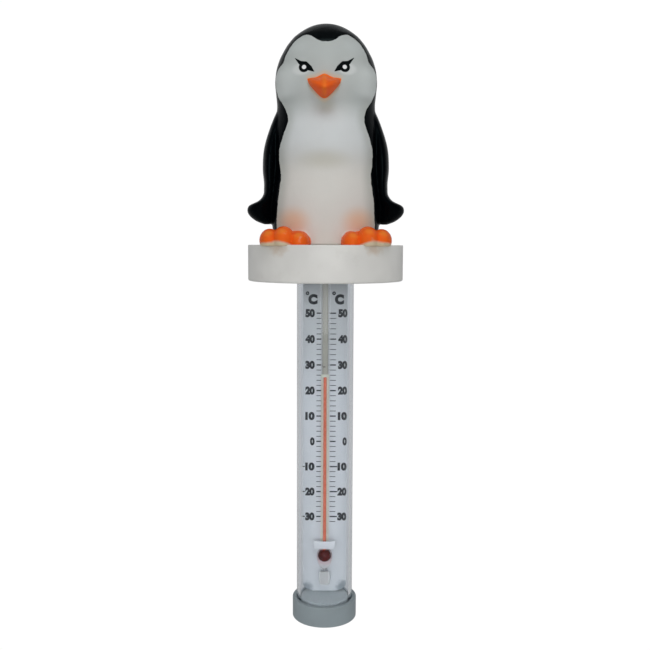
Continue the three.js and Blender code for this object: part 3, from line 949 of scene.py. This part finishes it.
def ink_text(text, right, centre_z, width, height, bold=0.075):
    """Printed characters fitted into a box whose right edge and middle height are given."""
    font = bpy.data.curves.new("print", "FONT")
    font.body = text
    font.extrude = 0.02           # any thickness: it is scaled to PRINT_LIFT below
    font.offset = bold
    font.resolution_u = 6
    obj = bpy.data.objects.new("print", font)
    bpy.context.scene.collection.objects.link(obj)
    mesh = bpy.data.meshes.new_from_object(
        obj.evaluated_get(bpy.context.evaluated_depsgraph_get()))
    co = np.array([v.co for v in mesh.vertices])
    faces = [list(p.vertices) for p in mesh.polygons]
    bpy.data.objects.remove(obj)
    bpy.data.meshes.remove(mesh)
    low, high = co.min(0), co.max(0)
    unit = (co - low) / (high - low)
    x = right - width + unit[:, 0] * width
    z = centre_z - height / 2 + unit[:, 1] * height
    y = PRINT_BACK - unit[:, 2] * PRINT_LIFT
    return [tuple(p) for p in np.stack([x, y, z], 1)], faces


def ink_ring(x, z, inner, outer, segments=28):
    """A printed degree sign."""
    turn = np.linspace(0, 2 * np.pi, segments, endpoint=False)
    front = PRINT_BACK - PRINT_LIFT
    verts = [(x + r * math.cos(t), y, z + r * math.sin(t))
             for r, y in ((inner, PRINT_BACK), (outer, PRINT_BACK), (outer, front),
                          (inner, front)) for t in turn]
    faces = []
    for row in range(4):
        after = (row + 1) % 4
        for k in range(segments):
            n = (k + 1) % segments
            faces.append([row * segments + k, after * segments + k,
                          after * segments + n, row * segments + n])
    return verts, faces


NUMBER_HEIGHT = 3.0
DIGIT_WIDTH = 1.8
LEFT_NUMBERS, RIGHT_NUMBERS = -3.75, 8.16      # right edges
LEFT_TICKS, RIGHT_TICKS = (-3.1, -0.9), (1.8, 3.9)
THICK_TICK, THIN_TICK, MINUS = 0.23, 0.12, 0.2     # half heights
LETTER_RIGHTS, LETTER_Z, LETTER_WIDTH, LETTER_HEIGHT = (-2.8, 6.75), -12.95, 3.35, 3.7
RING_LEFT, RING_Z, RING_RADII = 3.65, -10.8, (0.2, 0.66)


def print_parts():
    """Two columns of marks and numbers, with minus signs, under degree C signs."""
    parts = []
    for degrees in range(HIGHEST, LOWEST - 1, -2):
        z = mark(degrees)
        major = degrees % 10 == 0
        half = THICK_TICK if major else THIN_TICK
        for x0, x1 in (LEFT_TICKS, RIGHT_TICKS):
            parts.append(ink_box(x0, x1, z - half, z + half))
        if not major:
            continue
        digits = str(abs(degrees))
        width = DIGIT_WIDTH * len(digits) - 0.1
        for right in (LEFT_NUMBERS, RIGHT_NUMBERS):
            parts.append(ink_text(digits, right, z, width, NUMBER_HEIGHT))
        if degrees < 0:
            left_digits, right_digits = LEFT_NUMBERS - width, RIGHT_NUMBERS - width
            parts.append(ink_box(left_digits - 1.1, left_digits - 0.15, z - MINUS, z + MINUS))
            parts.append(ink_box(RIGHT_TICKS[1], right_digits - 0.1, z - MINUS, z + MINUS))
    for right in LETTER_RIGHTS:
        parts.append(ink_text("C", right, LETTER_Z, LETTER_WIDTH, LETTER_HEIGHT, bold=0.08))
        parts.append(ink_ring(right - RING_LEFT, RING_Z, *RING_RADII))
    return parts


def ink_material():
    """Black ink, rubbed greyer in specks."""
    s = Shader("scale_ink")
    worn = s.ramp(s.noise(1500, 4.0, 0.7), 0.45, 0.85)
    colour = s.mix(worn, (0.008, 0.010, 0.013), (0.05, 0.057, 0.067))
    return s.finish(colour, s.ramp(worn, 0, 1, 0.5, 0.7), s.bump(worn, 0.004))


scale_verts, scale_faces = joined(print_parts())
scale_print = mesh_object("scale_print", scale_verts, scale_faces, 30)
attach(scale_print, ink_material(), "root", None)


# -------- clips and bulb rest

CARD_GAP = 0.02       # clearance between a clip's back and the card
clip_plastic = moulded("clip_plastic", (0.72, 0.73, 0.74), dirt_share=0.05, rough=(0.35, 0.5))


def slope_back(obj, front, from_z, fall):
    """Lets a moulded piece's top fall away behind its front edge."""
    for vert in obj.data.vertices:
        if vert.co.z > from_z * MM:
            vert.co.z -= (vert.co.y - front * MM) * fall


def stem_clip(name, node):
    """Saddle that tapers at its foot, with a round space for the stem and a dished top."""
    low, high = node_box(node)
    half, base, top = high[0], low[2], high[2]
    saddle = []
    for x in np.linspace(-1, 1, 15):
        horn = 0.36 * (1 - abs(x) ** 2.6)
        saddle.append((x * (half - 0.15), top - horn))
    outline = [(-half + 0.7, base), (half - 0.7, base), (half - 0.12, base + 0.9)]
    outline += saddle[::-1]
    outline += [(-half + 0.12, base + 0.9)]
    clip = plate(name, outline, low[1], high[1] - CARD_GAP, bevel=0.22)
    space_r = STEM_R + 0.12
    stem_space = turned("stem_space", [(0, base - 1), (space_r, base - 1),
                                       (space_r, top + 1), (0, top + 1)], 64, y=STEM_Y)
    slope_back(clip, low[1], base + 1.4, 0.34)
    cut_away(clip, stem_space)
    clip.data.set_sharp_from_angle(angle=math.radians(35))
    return clip


for name, node in (("lower_clip_saddle", "lower_stem_clip"),
                   ("upper_clip_saddle", "upper_stem_clip")):
    attach(stem_clip(name, node), clip_plastic, "root", node)

rest_half, rest_base, rest_top = rest_high[0], rest_low[2], rest_high[2]
rest = plate("bulb_rest_peg", mirrored([
    (rest_half - 0.5, rest_base), (rest_half - 0.1, rest_base + 0.9),
    (rest_half, rest_base + 2.2), (rest_half - 0.15, rest_top)]),
    rest_low[1], rest_high[1] - CARD_GAP, bevel=0.45)
slope_back(rest, rest_low[1], rest_base + 3.0, 0.36)


def rest_material():
    """White plastic with painted light at its sides and foot, lighter than its middle."""
    s = Shader("rest_plastic")
    x, _, z = s.place_mm()
    side = s.ramp(s.maths("ABSOLUTE", x), rest_half - 0.75, rest_half - 0.15)
    foot = s.ramp(z, rest_base + 0.75, rest_base + 0.15)
    drift = s.ramp(s.noise(300, 3.0), 0.3, 0.7)
    colour = s.mix(drift, (0.55, 0.545, 0.53), (0.53, 0.53, 0.515))
    # painted light on the sides and foot, against the shade of their rounded edges
    colour = s.mix(s.maths("MAXIMUM", side, foot), colour, (0.80, 0.80, 0.785))
    return s.finish(colour, s.ramp(drift, 0, 1, 0.4, 0.5), s.bump(s.noise(2400, 2.0), 0.006))


attach(rest, rest_material(), "root", "bulb_rest")


# -------- glass and spirit

BULB_R = 2.72
FILL_R, FILL_DEEPER = 1.68, 0.25   # the spirit in the bulb is a little deeper than it is wide
STEM_DOME = 1.1
stem_top = glass_high[2]
shoulder = BULB_Z + 2.75
glass_outline = [(0, glass_low[2])]
for angle in np.linspace(-0.49, 0.30, 40) * math.pi:
    reach = BULB_Z - glass_low[2] if angle < 0 else 3.0
    glass_outline.append((BULB_R * math.cos(angle), BULB_Z + reach * math.sin(angle)))
glass_outline += [(STEM_R + 0.06, shoulder + 0.45), (STEM_R, shoulder + 1.0)]
glass_outline += [(STEM_R, z) for z in np.linspace(shoulder + 2, stem_top - 1.2, 40)]
glass_outline += [(STEM_R * math.cos(a), stem_top - STEM_DOME + STEM_DOME * math.sin(a))
                  for a in np.linspace(0, math.pi / 2, 8)][:-1] + [(0, stem_top)]
stem = turned("stem_and_bulb", glass_outline, 64, y=STEM_Y, sharp=60)
attach(stem, stem_glass, "root", "thermometer_glass")


def spirit_material(name, colour, deep):
    """Dyed spirit, or its light in the glass: a smooth colour that drifts a little."""
    s = Shader(name)
    drift = s.ramp(s.noise(700, 3.0), 0.3, 0.7)
    s.bsdf.inputs["Specular IOR Level"].default_value = 0.12
    return s.finish(s.mix(drift, colour, deep), s.ramp(drift, 0, 1, 0.12, 0.2),
                    s.bump(s.noise(900, 1.0), 0.004))


def lengthens(piece):
    """Bakes the piece's placement into its mesh. The piece runs from the neck to the column's top;
    in the real thermometer it lengthens with the reading.
    """
    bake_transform(piece)


thread_red = spirit_material("spirit_thread_red", (0.96, 0.265, 0.165), (0.89, 0.215, 0.13))
thread_glow = spirit_material("spirit_thread_glow", (0.81, 0.86, 0.74), (0.78, 0.80, 0.68))
bulb_red = spirit_material("spirit_bulb_red", (0.135, 0.010, 0.007), (0.085, 0.006, 0.004))
fill_half = FILL_R + FILL_DEEPER
fill_outline = [(0, BULB_Z - fill_half)]
fill_outline += [(FILL_R * math.cos(a), BULB_Z + fill_half * math.sin(a))
                 for a in np.linspace(-0.46, 0.41, 26) * math.pi]
fill_outline += [(SPIRIT_R, NECK_Z - 0.02), (0, NECK_Z - 0.02)]
fill = turned("bulb_spirit", fill_outline, 64, y=STEM_Y, sharp=60)
attach(fill, bulb_red, "root", "spirit_bulb_fill")

thread = turned("spirit_thread", [(0, NECK_Z)] + [(SPIRIT_R, z) for z in np.linspace(
    NECK_Z, COLUMN_TOP, 90)] + [(0, COLUMN_TOP)], 32, y=STEM_Y, sharp=60)
thread.data.materials.append(thread_red)
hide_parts("spirit_column")
lengthens(thread)

# Pale light beside the thread on the enamel behind it, a little longer than the thread
GLOW_HALF, GLOW_THICK, GLOW_PAST = 0.7, 0.03, 0.9
glow_y = STEM_Y + 0.84
glow_section = [(-GLOW_HALF, glow_y - GLOW_THICK), (GLOW_HALF, glow_y - GLOW_THICK),
                (GLOW_HALF, glow_y + GLOW_THICK), (-GLOW_HALF, glow_y + GLOW_THICK)]
glow = mesh_object("spirit_thread_glow", *loft([
    [(x, y, z) for x, y in glow_section]
    for z in np.linspace(NECK_Z + 0.1, tip_high[2] + GLOW_PAST, 92)]), 30)
glow.data.materials.append(thread_glow)
lengthens(glow)

TIP_DOME = 0.3
tip_outline = [(0, COLUMN_TOP), (SPIRIT_R, COLUMN_TOP)]
tip_outline += [(SPIRIT_R * math.cos(a), tip_high[2] - TIP_DOME + TIP_DOME * math.sin(a))
                for a in np.linspace(0, math.pi / 2, 9)[:-1]] + [(0, tip_high[2])]
tip = turned("spirit_thread_top", tip_outline, 32, y=STEM_Y, sharp=60)
attach(tip, thread_red, "spirit_top", "spirit_meniscus")
thread.visible_shadow = tip.visible_shadow = glow.visible_shadow = False

# Cream enamel line behind the bore, and a small calibration stroke on the glass
ENAMEL_HALF, ENAMEL_THICK = 0.5, 0.14
enamel_low, enamel_high = NECK_Z + 1.6, stem_top - 2.0
enamel_back = STEM_Y + 1.05
enamel = plate("stem_enamel_strip", mirrored([(ENAMEL_HALF, enamel_low),
                                              (ENAMEL_HALF, enamel_high)]),
               enamel_back - ENAMEL_THICK, enamel_back, bevel=0.03)
attach(enamel, moulded("stem_enamel", (0.46, 0.445, 0.37), rough=(0.4, 0.5), grain=0.006,
                       dirt_share=0.05), "root", None)

stroke_z = mark(30) - 0.15
stroke = plate("stem_calibration_stroke", [(-0.6, stroke_z - 0.17), (0.1, stroke_z - 0.12),
                                           (0.1, stroke_z + 0.12), (-0.6, stroke_z + 0.19)],
               STEM_Y - 0.75, STEM_Y - 0.65, bevel=0.03)
attach(stroke, ink_material(), "root", None)


# -------- hidden pieces keep their CAD shape

hidden_plastic = moulded("hidden_plastic", (0.74, 0.74, 0.72))
hidden_rubber = rubber("hidden_rubber")
for node, material in (("figure_base_plug", hidden_plastic), ("tube_socket", hidden_plastic),
                       ("tube_top_plug", hidden_plastic), ("socket_seal", hidden_rubber)):
    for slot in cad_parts[node].material_slots:
        slot.material = material


# -------- camera

CAMERA_DISTANCE = 286.8            # millimetres
CAMERA_X = -0.2
CAMERA_PITCH, CAMERA_LEAN = 5.6, -0.2      # degrees
LENS, SENSOR = 45.2, 36.0

camera_data = bpy.data.cameras.new("camera")
camera_data.lens = LENS
camera_data.sensor_width = SENSOR
camera_data.clip_start = 0.01
camera = bpy.data.objects.new("camera", camera_data)
camera.location = (CAMERA_X * MM, -CAMERA_DISTANCE * MM, DISC_TOP * MM)
camera.rotation_euler = (math.radians(90 - CAMERA_PITCH), math.radians(CAMERA_LEAN), 0)
bpy.context.scene.collection.objects.link(camera)
bpy.context.scene.camera = camera


# -------- studio

CAP_TRAVEL = 12.0                  # how far the cap slides down when it is pulled
FLOOR_GAP = 3.0
SWEEP_REACH, SWEEP_BEND, SWEEP_HEIGHT = 1900.0, 500.0, 2600.0


def sweep():
    """Pale floor, below the cap's reach when it is pulled off, that curves up all round."""
    floor_z = cap_low[2] - CAP_TRAVEL - FLOOR_GAP
    flat = SWEEP_REACH - SWEEP_BEND
    profile = [(200, floor_z), (flat, floor_z)]
    for a in np.linspace(0, math.pi / 2, 17)[1:]:
        profile.append((flat + SWEEP_BEND * math.sin(a),
                        floor_z + SWEEP_BEND - SWEEP_BEND * math.cos(a)))
    profile.append((SWEEP_REACH, floor_z + SWEEP_HEIGHT))
    segments = 96
    turn = [2 * math.pi * k / segments for k in range(segments)]
    verts = [(r * math.cos(a), r * math.sin(a), z) for r, z in profile for a in turn]
    faces = [[row * segments + k, row * segments + (k + 1) % segments,
              (row + 1) * segments + (k + 1) % segments, (row + 1) * segments + k]
             for row in range(len(profile) - 1) for k in range(segments)]
    faces.append(list(range(segments)))
    return mesh_object("studio_sweep", verts, faces, 30)


def paper():
    """White to the eye, and a mid grey where it lights or mirrors in the object."""
    s = Shader("studio_paper")
    tone = s.mix(s.ramp(s.noise(6, 2.0), 0.3, 0.7), (0.5, 0.5, 0.5), (0.48, 0.48, 0.48))
    s.finish(tone, 0.8, s.bump(s.noise(900), 0.02))
    s.bsdf.inputs["Emission Color"].default_value = (0.96, 0.98, 1.0, 1)
    behind = s.split(s.place)[1]
    s.feed(s.bsdf.inputs["Emission Strength"], s.ramp(behind, -0.4, 0.3, 0.06, 0.29))
    path = s.nodes.new("ShaderNodeLightPath")
    bright = s.nodes.new("ShaderNodeEmission")
    bright.inputs["Strength"].default_value = 1.02
    mixed = s.nodes.new("ShaderNodeMixShader")
    s.links.new(path.outputs["Is Camera Ray"], mixed.inputs[0])
    s.links.new(s.bsdf.outputs[0], mixed.inputs[1])
    s.links.new(bright.outputs[0], mixed.inputs[2])
    s.links.new(mixed.outputs[0], s.output.inputs["Surface"])
    return s.material


backdrop = sweep()
backdrop.data.materials.append(paper())


def area_light(name, place, aim, width, height, power, colour=(1, 1, 1)):
    """A soft lamp. Place, aim and sizes are in metres."""
    data = bpy.data.lights.new(name, "AREA")
    data.shape = "RECTANGLE"
    data.size, data.size_y = width, height
    data.energy = power
    data.color = colour
    light = bpy.data.objects.new(name, data)
    light.location = place
    light.rotation_euler = (Vector(aim) - Vector(place)).to_track_quat("-Z", "Y").to_euler()
    bpy.context.scene.collection.objects.link(light)


area_light("key_above", (0.04, -0.5, 0.7), (0, 0, 0.0), 0.6, 0.5, 2.1)
area_light("front_fill", (0.0, -1.1, 0.0), (0, 0, -0.03), 0.9, 0.8, 6.3, (0.98, 0.99, 1.0))

world = bpy.data.worlds.new("studio_air")
world.use_nodes = True
world.node_tree.nodes["Background"].inputs["Color"].default_value = (0.94, 0.97, 1.0, 1)
world.node_tree.nodes["Background"].inputs["Strength"].default_value = 0.18
bpy.context.scene.world = world
bpy.context.scene.view_settings.view_transform = "Standard"
bpy.context.scene.view_settings.look = "None"



bpy.context.view_layer.update()
